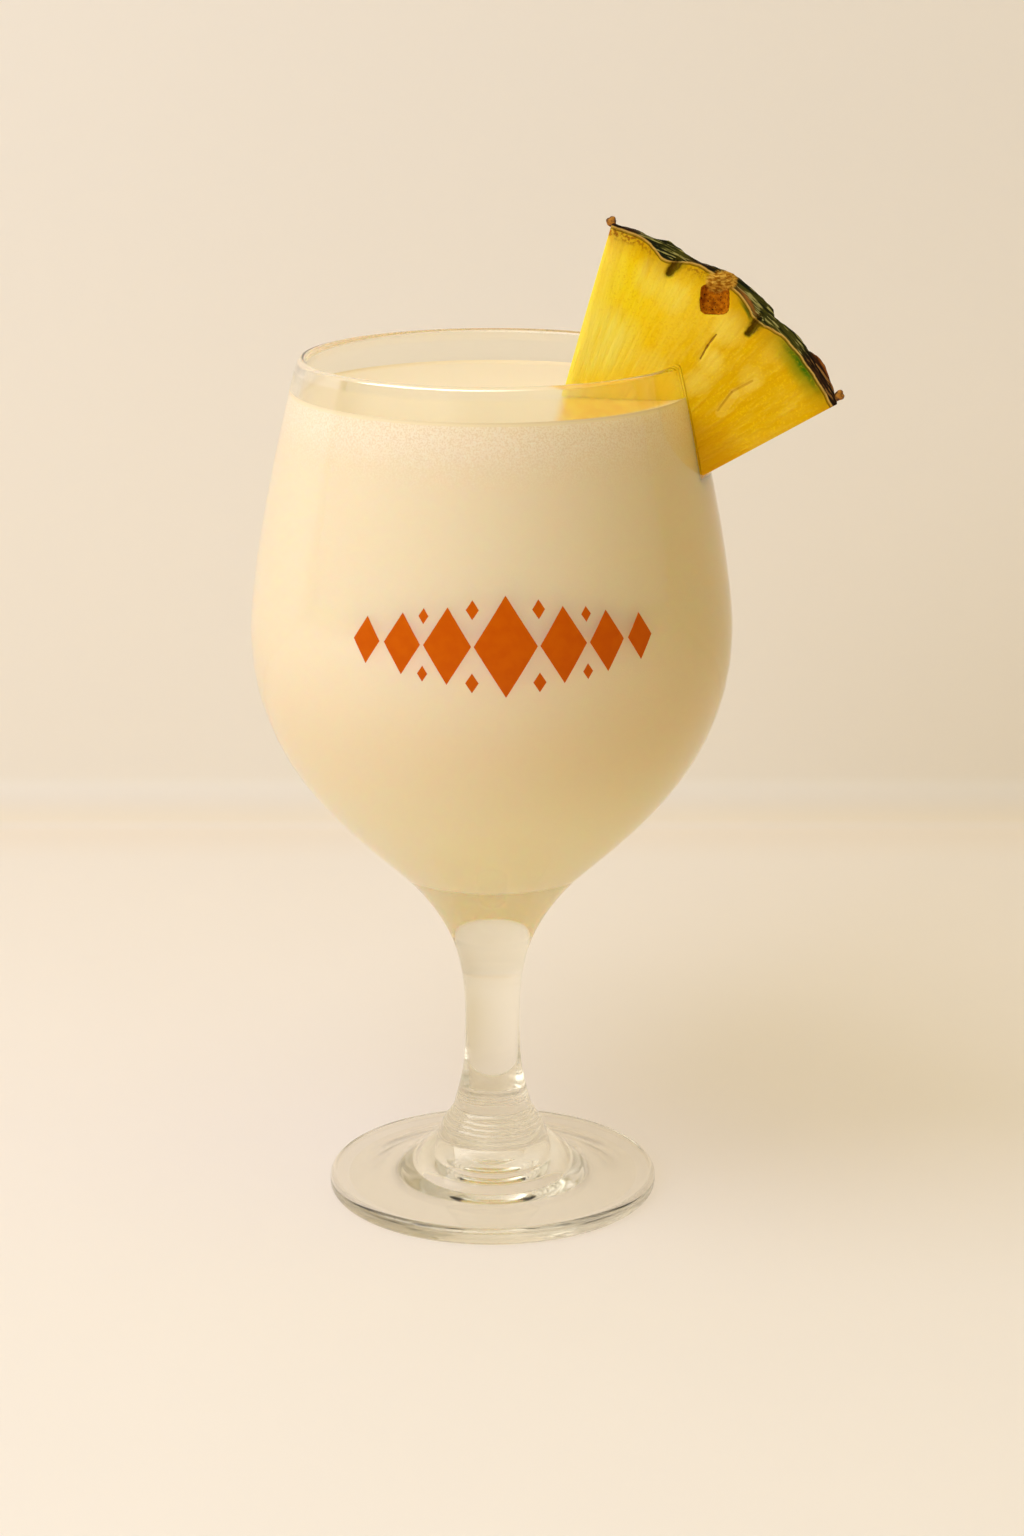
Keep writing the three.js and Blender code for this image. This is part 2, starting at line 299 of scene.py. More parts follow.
# %% [markdown]
# The drink fills the bowl. Glass and liquid touch, with no air between them, so the drink's skin reaches a
# hair into the wall: light then passes from glass straight to drink. It is turned from the same inside
# outline, cut off at its level, and closed on top by rings that are extruded inwards. The first few climb
# down from the wall: that is the meniscus, where the liquid clings to the glass.

# %% Drink in the bowl
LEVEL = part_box("drink")[1].z
INTO_WALL = 0.15 * MM
DRINK_STEPS = 48
# Each ring's width and drop, from the wall inwards
MENISCUS = [(0.35 * MM, 0.22 * MM), (0.45 * MM, 0.12 * MM), (0.6 * MM, 0.08 * MM), (0.8 * MM, 0.03 * MM)]
MENISCUS_HEIGHT = sum(drop for width, drop in MENISCUS)
SURFACE_RINGS = 48

rim_inside = RIM_MIDDLE - aim(RIM_LEAN, LIP)
drink = turn_round(draw_outline("pina_colada", rim_inside, [shoulder_inside, basin_inside], DRINK_STEPS))
edit(drink)
select_all()
bpy.ops.mesh.bisect(plane_co=(AXIS, 0, LEVEL + MENISCUS_HEIGHT), plane_no=(0, 0, 1), clear_outer=True)
select_all()
bpy.ops.transform.shrink_fatten(value=INTO_WALL)
select_all("DESELECT")
edge_height = max(v.co.z for v in bmesh.from_edit_mesh(drink.data).verts)
select_where(drink, lambda v: v.co.z > edge_height - 0.02 * MM)
radius = max(v.co.x for v in bmesh.from_edit_mesh(drink.data).verts if v.select) - AXIS


def ring_inwards(narrower, drop):
    """Extrudes the selected ring, lowers it and draws it in towards the goblet's axis."""
    bpy.ops.mesh.extrude_region_move(TRANSFORM_OT_translate={"value": (0, 0, -drop)})
    bpy.ops.transform.resize(value=(narrower, narrower, 1), center_override=(AXIS, 0, 0))


for width, drop in MENISCUS:
    ring_inwards((radius - width) / radius, drop)
    radius -= width
SURFACE_RADIUS = radius
for i in range(SURFACE_RINGS, 1, -1):
    ring_inwards((i - 1) / i, 0)
bpy.ops.mesh.merge(type="CENTER")
select_all()
bpy.ops.mesh.normals_make_consistent(inside=False)
close_edit(drink)

# %% [markdown]
# The wedge is a sector of a slice of pineapple, with its tip in the drink. It is modelled flat, in a frame of
# its own: the tip's axis is Y, angles run from upright towards +X, and the depth through the slice is Y. At
# the end the whole is turned and moved to its seat on the rim. A rectangle that spins about the tip gives the
# sector, in cells that get finer towards the rind, where the detail is.

# %% The slice's frame
SLICE_THICKNESS = 12 * MM
SLICE_RADIUS = 65.6 * MM
SECTOR_START = 14.7
SECTOR_END = 61.1
LEAN = 8
SWING = 6
PIVOT_HEIGHT = 160 * MM
TIP_OUT = 5.4 * MM
TIP_DOWN = 35.2 * MM
HALF = SLICE_THICKNESS / 2

slice_turn = Euler((math.radians(-LEAN), 0, math.radians(-SWING)))
slice_seat = Matrix.Translation((AXIS, 0, PIVOT_HEIGHT)) @ slice_turn.to_matrix().to_4x4()
slice_seat = slice_seat @ Matrix.Translation((TIP_OUT, 0, -TIP_DOWN))


def on_slice(distance, angle, depth=0.0):
    """A point of the slice, from its distance to the tip, its angle from upright and its depth."""
    turn = math.radians(angle)
    return Vector((distance * math.sin(turn), depth, distance * math.cos(turn)))


def spin_sector(name, half, across, through, around):
    """A sector with cells across its radius, through its thickness and around its tip."""
    bpy.ops.mesh.primitive_grid_add(x_subdivisions=through, y_subdivisions=across, size=1, location=(0, 0, 0))
    sector = bpy.context.object
    sector.name = name
    places = read_places(sector)
    distance = SLICE_RADIUS * np.sin((places[:, 1] + 0.5) * math.pi / 2)
    turn = math.radians(SECTOR_START)
    span = math.radians(SECTOR_END - SECTOR_START)
    sectioned = [distance * math.sin(turn), places[:, 0] * 2 * half, distance * math.cos(turn)]
    write_places(sector, np.stack(sectioned, axis=1))
    edit(sector, "FACE")
    select_all()
    bpy.ops.mesh.spin(steps=around, angle=span, center=(0, 0, 0), axis=(0, -1, 0))
    close_skin(weld=0.001 * MM)
    close_edit(sector)
    return sector


# %% Sector
# Cells across the radius, through the thickness and around the tip
WEDGE_CELLS = (110, 26, 150)
wedge = spin_sector("pineapple_wedge_cut", HALF, *WEDGE_CELLS)

# %% [markdown]
# Small marks make the fruit: two clefts that run in from the rind, a crack between fibres, a faint crease,
# and the dried-up flower of one eye. Each is a stroke between points on the cut face, in millimetres across
# and up from the tip. The same strokes dig into the mesh here and colour the material later.

# %% Marks on the front face
CLEFTS = [((29.4, 58.2), (27.6, 55.7)), ((44.7, 48.0), (42.4, 45.1))]
CLEFT_WIDTH = 1.3
CRACK = [((36.5, 44.8), (35.0, 42.8)), ((35.0, 42.8), (33.7, 40.4))]
CRACK_WIDTH = 0.5
CREASE = [((43.3, 36.5), (39.6, 34.4)), ((39.6, 34.4), (37.1, 31.0))]
CREASE_WIDTH = 0.7
EYE_CENTRE = (36.1, 51.2)
EYE_HALF = (2.7, 2.75)
COLLAR_STROKE = ((36.3, 54.3), (38.4, 54.8))
COLLAR_WIDTH = 3.4
BACK_CLEFTS = [((20.4, 62.4), (19.2, 58.8)), ((38.9, 53.4), (36.6, 50.2))]


def stroke_distance(across, up, stroke):
    """How far each point of the cut face is from a stroke, in millimetres."""
    (x0, z0), (x1, z1) = stroke
    length = math.hypot(x1 - x0, z1 - z0)
    share = ((across - x0) * (x1 - x0) + (up - z0) * (z1 - z0)) / length**2
    share = np.clip(share, 0, 1)
    return np.hypot(across - x0 - share * (x1 - x0), up - z0 - share * (z1 - z0))


def smooth(value, low, high):
    """From 0 at low to 1 at high, levelling off at both."""
    share = np.clip((value - low) / (high - low), 0, 1)
    return share * share * (3 - 2 * share)


def ripples(*axes):
    """Noise from about -1 to 1, one grain to each unit of the axes."""
    return np.array([noise.noise(place) for place in np.stack(axes, axis=1)])


# %% [markdown]
# The rind is a skin of dried flowers, one to each eye. The eyes lie in rows, half a step apart, and swell
# between the grooves where they meet. Along the front edge, the rind follows the knobbly line of the real
# slice. Lengthwise ridges and a pointed dry scale on each eye roughen it.

# %% Rind
RIND_THICKNESS = 1.2
EYE_BULGE_START = 0.8
EYE_BULGE_END = 2.2
EYE_PITCH = 16.8
EYE_MIDDLE = 35.6
EYE_ROWS_APART = 15
EYE_ROW_OFFSET = -1.5
RIND_EDGE = [
    (14.7, 67.0), (21.6, 66.7), (24.0, 67.5), (27.0, 66.8), (29.8, 66.6), (35.0, 68.4), (43.4, 68.2),
    (44.4, 67.3), (49.0, 68.3), (51.7, 68.0), (53.2, 68.9), (55.0, 69.0), (59.2, 67.8), (61.1, 67.2),
]
SCALE_LENGTH = 8.0
SCALE_WIDTH = 5.2
SCALE_HEIGHT = 0.7
BACK_DROP = 1.5
RIDGE_HEIGHT = 0.16
FINE_RIDGE_HEIGHT = 0.1
KNOB_HEIGHT = 0.14
RADIUS_MM = SLICE_RADIUS / MM
HALF_MM = HALF / MM


def eye_swell(angle, depth):
    """How far each point of the rind swells out of the grooves between the eyes, from 0 to 1."""
    pitch = math.radians(EYE_PITCH) * RADIUS_MM
    along = np.radians(angle - EYE_MIDDLE) * RADIUS_MM
    reach = []
    for row in (-1, 0, 1):
        for i in range(-3, 4):
            eye_along = (i + abs(row) / 2) * pitch
            reach.append(np.hypot(along - eye_along, depth - EYE_ROW_OFFSET - row * EYE_ROWS_APART))
    nearest = np.sort(np.stack(reach), axis=0)
    return np.sqrt(np.clip((nearest[1] - nearest[0]) / pitch, 0, 1))


def scales(angle, depth):
    """The pointed dry scale on each eye: widest at the front face, with its tip towards the back."""
    height = np.zeros(len(angle))
    for i in (-1, 0, 1):
        along = np.radians(angle - EYE_MIDDLE - i * EYE_PITCH) * RADIUS_MM
        to_tip = 1 - (depth + HALF_MM) / SCALE_LENGTH
        side = np.abs(along) / (SCALE_WIDTH / 2 * np.clip(to_tip, 0.05, 1))
        height += SCALE_HEIGHT * np.clip(1 - side**2, 0, 1) * smooth(to_tip, 0, 0.25)
    return height


def rind_distance(angle, depth):
    """How far the rind's outer face is from the tip, in millimetres."""
    share = (angle - SECTOR_START) / (SECTOR_END - SECTOR_START)
    bulge = EYE_BULGE_START + (EYE_BULGE_END - EYE_BULGE_START) * share
    swollen = RADIUS_MM + RIND_THICKNESS + bulge * eye_swell(angle, depth) + scales(angle, depth) / 2
    edge_angles, edge_distances = zip(*RIND_EDGE)
    edge = np.interp(angle, edge_angles, edge_distances)
    front = 1 - smooth(depth + HALF_MM, 0.5, 5)
    along = np.radians(angle) * RADIUS_MM
    ridges = RIDGE_HEIGHT * ripples(along * 0.12, depth * 1.3, depth * 0)
    ridges = ridges + FINE_RIDGE_HEIGHT * ripples(along * 0.5, depth * 3, depth * 0)
    lower = BACK_DROP * smooth(depth + HALF_MM, 0.5, 8)
    knobs = KNOB_HEIGHT * ripples(along * 0.8, depth * 0.6, depth * 0 + 7)
    return swollen * (1 - front) + edge * front + ridges + knobs - lower


# %% [markdown]
# A real cut isn't flat either. Fibres stand a little out of the flesh and run from the core to the rind, and
# the corners are softened by the knife. These moves are far too many to make by hand, so the vertices are
# moved in code, each by its distance, angle and depth.

# %% Relief
STRETCH_FROM = 56
FIBRE_HEIGHT = 0.07
EDGE_SOFTNESS = 0.45
EDGE_DEPTH = 0.22
SIDE_BULGE = 0.3
CLEFT_DEPTH = 0.9
CRACK_DEPTH = 0.25
CREASE_DEPTH = 0.12
EYE_DEPTH = 1.3
EYE_ROUGHNESS = 0.3
COLLAR_RISE = 0.45
COLLAR_ROUGHNESS = 0.35
RIND_ROUGHNESS = 0.15

slice_places = read_places(wedge) / MM
across, depth, up = slice_places.T
distance = np.hypot(across, up)
angle = np.degrees(np.arctan2(across, up))
angle[distance < 0.01] = (SECTOR_START + SECTOR_END) / 2
outward = np.clip((distance - STRETCH_FROM) / (RADIUS_MM - STRETCH_FROM), 0, 1)
distance = distance + outward * (rind_distance(angle, depth) - RADIUS_MM)
span = (angle - SECTOR_START) / (SECTOR_END - SECTOR_START)
bulge = SIDE_BULGE * np.sin(np.clip(distance / RADIUS_MM, 0, 1) * math.pi) * ((1 - span)**6 - span**6 / 2)
angle = angle - np.degrees(bulge / np.clip(distance, 5, None))
across, up = distance * np.sin(np.radians(angle)), distance * np.cos(np.radians(angle))

is_front = depth < -HALF_MM + 0.01
is_back = depth > HALF_MM - 0.01
along = np.radians(angle) * RADIUS_MM
broad_fibres = ripples(along * 0.9, distance * 0.09, depth * 0.2)
fine_fibres = ripples(along * 2.1, distance * 0.2, depth)
fibres = FIBRE_HEIGHT * (broad_fibres + fine_fibres) * smooth(distance, 4, 20)
flesh = 1 - smooth(distance, RADIUS_MM - 0.2, RADIUS_MM + 0.5)


def groove(stroke, groove_depth, inner, outer):
    """How deep a stroke digs at each vertex: all its depth up to inner away, none from outer on."""
    return groove_depth * (1 - smooth(stroke_distance(across, up, stroke), inner, outer))


dig = fibres * flesh
for clefts, on_face in ((CLEFTS, is_front), (BACK_CLEFTS, is_back)):
    for cleft in clefts:
        dig += groove(cleft, CLEFT_DEPTH, 0.1, CLEFT_WIDTH / 2 + 0.25) * on_face
for stroke in CRACK:
    dig += groove(stroke, CRACK_DEPTH, 0, CRACK_WIDTH) * is_front
for stroke in CREASE:
    dig += groove(stroke, CREASE_DEPTH, 0, CREASE_WIDTH) * is_front
roughness = ripples(across * 1.4, up * 1.4, depth * 0)
off_eye = zip((across, up), EYE_CENTRE, EYE_HALF)
eye_field = sum(np.abs((places - centre) / half)**3 for places, centre, half in off_eye)
eye_hole = 1 - smooth(eye_field + 0.15 * roughness, 0.25, 1.1)
dig += (EYE_DEPTH + EYE_ROUGHNESS * roughness) * eye_hole * is_front
collar = 1 - smooth(stroke_distance(across, up, COLLAR_STROKE) + 0.3 * roughness, 0.6, COLLAR_WIDTH / 2)
dig += (COLLAR_ROUGHNESS * ripples(across * 2, up * 1, depth * 0) - COLLAR_RISE) * collar * is_front
dig += RIND_ROUGHNESS * ripples(along * 0.5, distance * 2.6, depth) * (1 - flesh)
from_edge = np.radians(np.minimum(angle - SECTOR_START, SECTOR_END - angle)) * distance
dig += EDGE_DEPTH * (1 - smooth(from_edge, 0, EDGE_SOFTNESS))
dig[distance < 0.01] = EDGE_DEPTH
depth = depth + dig * is_front - dig * is_back
write_places(wedge, np.stack([across, depth, up], axis=1) * MM)
print("rind up to", distance.max().round(1), "mm from the tip")

# %% Dry tips at both ends of the rind
TIP_DEPTH = -5.1 * MM


def dry_tip(name, size, place, lobes):
    """A little curl of dried scale: a ball drawn out into lobes, each towards its own angle."""
    bpy.ops.mesh.primitive_ico_sphere_add(subdivisions=4, radius=1, location=(0, 0, 0))
    tip = bpy.context.object
    tip.name = name
    shape = read_places(tip)
    longer = np.zeros(len(shape))
    for turn, reach in lobes:
        towards = np.array(on_slice(1, turn))
        longer = np.maximum(longer, reach * np.clip(shape @ towards, 0, 1)**4)
    rough = 0.16 * ripples(*(shape.T * 1.7)) + 0.07 * ripples(*(shape.T * 4.5))
    shape = shape * (1 + longer + rough)[:, None] * size + np.array(place)
    write_places(tip, shape)
    pick(tip)
    bpy.ops.object.shade_smooth()
    return tip


left_tip = dry_tip("dry_tip_left", 0.85 * MM, on_slice(67.1 * MM, 14.6, TIP_DEPTH), [(-60, 0.25), (10, 0.3)])
right_tip = dry_tip("dry_tip_right", 0.72 * MM, on_slice(67.7 * MM, 60.1, TIP_DEPTH), [(42, 1.3), (80, 1.2)])

# %% [markdown]
# The wedge, with its tips, is turned and moved to its seat astride the rim. There the goblet's own wall, drawn
# again a touch thinner, cuts the slot by a Boolean modifier: wet flesh clings to the glass, so no air may show
# between them. A plain sector, a touch thinner than the wedge, cuts the drink round it in the same way.

# %% Slot and seat
SLOT_GRIP = 0.65 * MM
SLOT_STEPS = 12
PLUG_GRIP = 0.25 * MM
PLUG_CELLS = (4, 1, 12)
CREASE_ANGLE = math.radians(42)
for piece in (wedge, left_tip, right_tip):
    piece.data.transform(slice_seat)

wall_start = RIM_MIDDLE + aim(RIM_LEAN, LIP)
wall_outline = [*shoulder[1:], shoulder_inside, line(BELLY)]
wall_outline.append(sweep(aim(90, SHOULDER_REACH), shoulder_end, wall_start))
wall = turn_round(draw_outline("slot_cutter", wall_start, wall_outline, SLOT_STEPS))
edit(wall)
select_all()
bpy.ops.transform.shrink_fatten(value=-SLOT_GRIP)
close_edit(wall)

plug = spin_sector("wedge_plug", HALF - PLUG_GRIP, *PLUG_CELLS)
plug.data.transform(slice_seat)


def cut(piece, tool):
    """Cuts the tool's form out of the piece, and removes the tool."""
    boolean = piece.modifiers.new("cut", "BOOLEAN")
    boolean.operation = "DIFFERENCE"
    boolean.solver = "EXACT"
    boolean.object = tool
    apply_modifiers(piece)
    bpy.data.objects.remove(tool)
    print(f"{piece.name} cut: {len(piece.data.polygons)} faces")


cut(wedge, wall)
cut(drink, plug)
for piece in (wedge, drink):
    pick(piece)
    bpy.ops.object.shade_smooth_by_angle(angle=CREASE_ANGLE)

# %% [markdown]
# The goblet carries a print in orange enamel. This one is an ornament of plain lozenges, the largest in the
# middle. One lozenge is modelled flat, as a grid turned on its corner. Each copy is scaled, carried round the
# bowl, and pressed onto the glass by a Shrinkwrap modifier, and Solidify gives the enamel its thickness. So
# thin a layer throws no shadow of its own.

# %% Enamel ornament
PRINT_MIDDLE = 3.5
PRINT_HEIGHT = 120.4 * MM
PRINT_GAP = 0.02 * MM
ENAMEL = 0.06 * MM
LOZENGE_CELLS = 16
LOZENGE_CREASE = math.radians(40)
# Each lozenge's degrees to the side, millimetres up, height and width
LOZENGES = [
    (0, 0, 18.5, 11.6), (13.3, 0, 14.0, 8.8), (23.9, 0, 11.2, 7.0), (32.8, 0, 8.6, 5.4),
    (7.6, 6.6, 3.6, 2.4), (7.6, -6.6, 3.6, 2.4), (18.9, 5.2, 2.9, 1.9), (18.9, -5.2, 2.9, 1.9),
]


def lozenge(name, turn, rise, height, width):
    """A lozenge of enamel on the bowl, so many degrees round and so many millimetres up from its middle."""
    cells = {"x_subdivisions": LOZENGE_CELLS, "y_subdivisions": LOZENGE_CELLS}
    bpy.ops.mesh.primitive_grid_add(**cells, size=math.sqrt(0.5), location=(0, 0, 0))
    made = bpy.context.object
    made.name = name
    stand_up = Euler((math.pi / 2, 0, 0)).to_matrix().to_4x4()
    on_corner = Euler((0, 0, math.pi / 4)).to_matrix().to_4x4()
    made.data.transform(stand_up @ Matrix.Diagonal((width * MM, height * MM, 1, 1)) @ on_corner)
    made.data.transform(Matrix.Translation((0, AXIS - BELLY.x, PRINT_HEIGHT + rise * MM)))
    round_bowl = Euler((0, 0, math.radians(turn))).to_matrix().to_4x4()
    made.data.transform(Matrix.Translation((AXIS, 0, 0)) @ round_bowl)
    press = made.modifiers.new("press", "SHRINKWRAP")
    press.target = goblet
    press.offset = PRINT_GAP
    press.wrap_mode = "OUTSIDE_SURFACE"
    thicken = made.modifiers.new("thicken", "SOLIDIFY")
    thicken.thickness = ENAMEL
    thicken.offset = 1
    apply_modifiers(made)
    pick(made)
    bpy.ops.object.shade_smooth_by_angle(angle=LOZENGE_CREASE)
    made.visible_shadow = False
    return made


ornament = []
for i, (turn, rise, height, width) in enumerate(LOZENGES):
    for side in ((1,) if turn == 0 else (-1, 1)):
        name = f"lozenge_{i}_{'left' if side < 0 else 'right'}" if turn else "lozenge_middle"
        ornament.append(lozenge(name, PRINT_MIDDLE + side * turn, rise, height, width))
print(len(ornament), "lozenges")

# %% [markdown]
# Everything stands in front of a plain cream backdrop: a floor that turns up into a wall behind the goblet.
# A plane gives the floor, its far edge is extruded up, and a bevel rounds the corner between them.

# %% Floor and backdrop
FLOOR_SIZE = 9.0
WALL_HEIGHT = 2
WALL_BEHIND = 0.254
COVE_ROUND = 0.012
bpy.ops.mesh.primitive_plane_add(size=FLOOR_SIZE, location=(0, WALL_BEHIND - FLOOR_SIZE / 2, 0))
backdrop = bpy.context.object
backdrop.name = "backdrop"
bpy.ops.object.transform_apply()
edit(backdrop, "EDGE")
select_where(backdrop, lambda e: min(v.co.y for v in e.verts) > WALL_BEHIND - MM, "edges")
bpy.ops.mesh.extrude_region_move(TRANSFORM_OT_translate={"value": (0, 0, WALL_HEIGHT)})
select_all("DESELECT")
select_where(backdrop, lambda e: all(v.co.y > WALL_BEHIND - MM and v.co.z < MM for v in e.verts), "edges")
bpy.ops.mesh.bevel(offset=COVE_ROUND, segments=16)
close_edit(backdrop)

# %% [markdown]
# Materials are built of nodes. Writing each node and link out takes many lines, so a few helpers do it: a node
# with its inputs, a sum, a soft step, coats of colour, and noise. Colours are given as they look on a screen,
# from 0 to 255, and turned into the linear light that a shader works in.

# %% Helpers for materials
def colour(red, green, blue):
    """A colour as it looks on a screen, in linear light."""
    linear = [(c / 255 / 12.92) if c <= 10 else ((c / 255 + 0.055) / 1.055)**2.4 for c in (red, green, blue)]
    return (*linear, 1)


def fill(tree, node, inputs):
    """Gives a node's inputs their values, and links those that are sockets."""
    for place, value in inputs.items():
        if isinstance(value, bpy.types.NodeSocket):
            tree.links.new(value, node.inputs[place])
        else:
            node.inputs[place].default_value = value


def put(tree, kind, inputs=None, **settings):
    """A node with its settings and inputs."""
    node = tree.nodes.new("ShaderNode" + kind)
    for name, value in settings.items():
        setattr(node, name, value)
    fill(tree, node, inputs or {})
    return node


def maths(tree, operation, *values):
    return put(tree, "Math", dict(enumerate(values)), operation=operation).outputs[0]


def times(tree, *shares):
    """The product of all shares."""
    result = shares[0]
    for share in shares[1:]:
        result = maths(tree, "MULTIPLY", result, share)
    return result


def step(tree, value, low, high, start=0.0, end=1.0):
    """From start at low to end at high, levelling off at both."""
    limits = {"Value": value, "From Min": low, "From Max": high, "To Min": start, "To Max": end}
    return put(tree, "MapRange", limits, interpolation_type="SMOOTHSTEP").outputs[0]


def blend(tree, share, first, second):
    """From the first colour at 0 to the second at 1."""
    return put(tree, "Mix", {0: share, 6: first, 7: second}, data_type="RGBA").outputs[2]


def paint(tree, base, *coats):
    """The base colour under coats of paint, each a share and a colour."""
    for share, coat in coats:
        base = blend(tree, share, base, coat)
    return base


def grain(tree, places, scale, detail=2.0):
    """Noise from about 0 to 1, with so many grains to each unit of the places."""
    return put(tree, "TexNoise", {"Vector": places, "Scale": scale, "Detail": detail}).outputs[0]


def long_grain(tree, places, scales, detail=2.0, scale=1.0):
    """Noise that stretches along the axes with small scales."""
    squeezed = put(tree, "VectorMath", {0: places, 1: scales}, operation="MULTIPLY").outputs[0]
    return grain(tree, squeezed, scale, detail)


def new_finish(name):
    """A material, its node tree and its main shader."""
    finish = bpy.data.materials.new(name)
    finish.use_nodes = True
    tree = finish.node_tree
    return finish, tree, tree.nodes["Principled BSDF"]


def axes(tree, places):
    """The x, y and z of places."""
    return put(tree, "SeparateXYZ", {0: places}).outputs


def object_places(tree):
    """Object coordinates, in millimetres."""
    metres = put(tree, "TexCoord").outputs["Object"]
    return put(tree, "Mapping", {"Vector": metres, "Scale": (1000, 1000, 1000)}).outputs[0]


def squares(tree, first, second):
    """The sum of two squares."""
    return maths(tree, "MULTIPLY_ADD", first, first, times(tree, second, second))


def round_axis(tree):
    """The distance to the goblet's axis, and the height, in millimetres."""
    right, back, height = axes(tree, object_places(tree))
    aside = maths(tree, "SUBTRACT", right, AXIS / MM)
    return maths(tree, "SQRT", squares(tree, aside, back)), height


def bump(tree, height, depth_mm, normal=None):
    """A bump whose heights from 0 to 1 stand for that many millimetres."""
    inputs = {"Height": height, "Distance": depth_mm * MM, "Strength": 1.0}
    if normal:
        inputs["Normal"] = normal
    return put(tree, "Bump", inputs).outputs[0]


def swap(tree, share, first, second):
    """Shows a mix of two shaders, and returns it."""
    mixed = put(tree, "MixShader", {0: share, 1: first.outputs[0], 2: second.outputs[0]})
    fill(tree, tree.nodes["Material Output"], {"Surface": mixed.outputs[0]})
    return mixed


def dress(piece, finish):
    piece.data.materials.clear()
    piece.data.materials.append(finish)


# %% [markdown]
# The glass is clear, with a faint warm tint and a weak absorption. Light that goes through glass to a lamp is
# bent, and a path tracer seldom finds that way, so shadows of glass come out far too dark. The usual remedy is
# to let shadow rays, and here diffuse rays too, straight through: a Light Path node swaps the glass for a
# Transparent shader. The lip's outside is fire-polished, which a coat gives: it catches the bright line along
# the rim, away from the wedge.

# %% Glass
LIP_MIDDLE = (RIM_MIDDLE.x - AXIS) / MM
HEIGHT_MM = HEIGHT / MM
glass_finish, tree, shader = new_finish("pressed_glass")
from_axis, height_mm = round_axis(tree)
lip_outside = step(tree, from_axis, LIP_MIDDLE, LIP_MIDDLE + 0.3)
lip_top = step(tree, height_mm, HEIGHT_MM - 2.6, HEIGHT_MM - 1.8)
off_wedge = step(tree, axes(tree, object_places(tree))["X"], AXIS / MM + 22, AXIS / MM + 10)
fill(tree, shader, {
    "Base Color": colour(251, 249, 240),
    "Roughness": 0.07,
    "IOR": 1.5,
    "Transmission Weight": 1.0,
    "Coat Weight": times(tree, lip_outside, lip_top, off_wedge),
    "Coat IOR": 2.4,
    "Coat Roughness": 0.08,
})
see_through = put(tree, "BsdfTransparent", {"Color": colour(251, 250, 248)})
path = put(tree, "LightPath").outputs
swap(tree, maths(tree, "MAXIMUM", path["Is Shadow Ray"], path["Is Diffuse Ray"]), shader, see_through)
absorbs = put(tree, "VolumeAbsorption", {"Color": (0.6, 0.55, 0.2, 1), "Density": 4.0})
fill(tree, tree.nodes["Material Output"], {"Volume": absorbs.outputs[0]})
dress(goblet, glass_finish)

# %% [markdown]
# One material serves the whole slice, because flesh and rind grow into each other. It needs to know where on
# the slice it is, so a Mapping node turns object coordinates back into the slice's own: millimetres across,
# through and up from its tip. From those come the distance to the tip and the angle, as in the modelling. The
# drink uses the same places, for the juice and the painted glow in front of the wedge.

# %% Places on the slice
class SlicePlaces:
    """The slice's own coordinates as sockets of a node tree."""

    def __init__(self, tree):
        turned_back = {
            "Vector": put(tree, "TexCoord").outputs["Object"],
            "Location": slice_seat.to_translation(),
            "Rotation": slice_turn,
            "Scale": (MM, MM, MM),
        }
        self.tree = tree
        self.flat = put(tree, "Mapping", turned_back, vector_type="TEXTURE").outputs[0]
        self.across, self.depth, self.up = axes(tree, self.flat)
        self.distance = maths(tree, "SQRT", squares(tree, self.up, self.across))
        turn = maths(tree, "ARCTAN2", self.across, self.up)
        self.angle = maths(tree, "DEGREES", turn)
        around = times(tree, turn, RADIUS_MM)
        polar = {"X": around, "Y": self.distance, "Z": self.depth}
        self.polar = put(tree, "CombineXYZ", polar).outputs[0]
        self.front = step(tree, self.depth, -HALF_MM + 3.5, -HALF_MM + 2.5)

    def stroke(self, points, width, rough=None, taper=0.0):
        """1 on a stroke between two points of the front face, 0 past its width; taper narrows its end."""
        (x0, z0), (x1, z1) = points
        tree = self.tree
        length = math.hypot(x1 - x0, z1 - z0)
        run_x, run_z = (x1 - x0) / length, (z1 - z0) / length
        to_x = maths(tree, "SUBTRACT", self.across, x0)
        to_z = maths(tree, "SUBTRACT", self.up, z0)
        run = maths(tree, "MULTIPLY_ADD", to_z, run_z, times(tree, to_x, run_x))
        aside = maths(tree, "MULTIPLY_ADD", to_z, run_x, times(tree, to_x, -run_z))
        beyond = maths(tree, "SUBTRACT", run, maths(tree, "MINIMUM", maths(tree, "MAXIMUM", run, 0.0), length))
        away = maths(tree, "SQRT", squares(tree, aside, beyond))
        if rough:
            away = maths(tree, "ADD", away, rough)
        if taper:
            away = maths(tree, "MULTIPLY_ADD", run, taper * width / length / 2, away)
        return times(tree, step(tree, away, width * 0.65, width * 0.4), self.front)

    def spot(self, centre, reach):
        """1 at a point of the cut face, falling to 0 a reach away."""
        tree = self.tree
        off_x = maths(tree, "SUBTRACT", self.across, centre[0])
        off_z = maths(tree, "SUBTRACT", self.up, centre[1])
        return step(tree, squares(tree, off_z, off_x), reach * reach, 0.0)

    def hump(self, value, middle, reach):
        """1 at the middle, falling to 0 a reach away on both sides."""
        away = maths(self.tree, "ABSOLUTE", maths(self.tree, "SUBTRACT", value, middle))
        return step(self.tree, away, reach, 0.0)
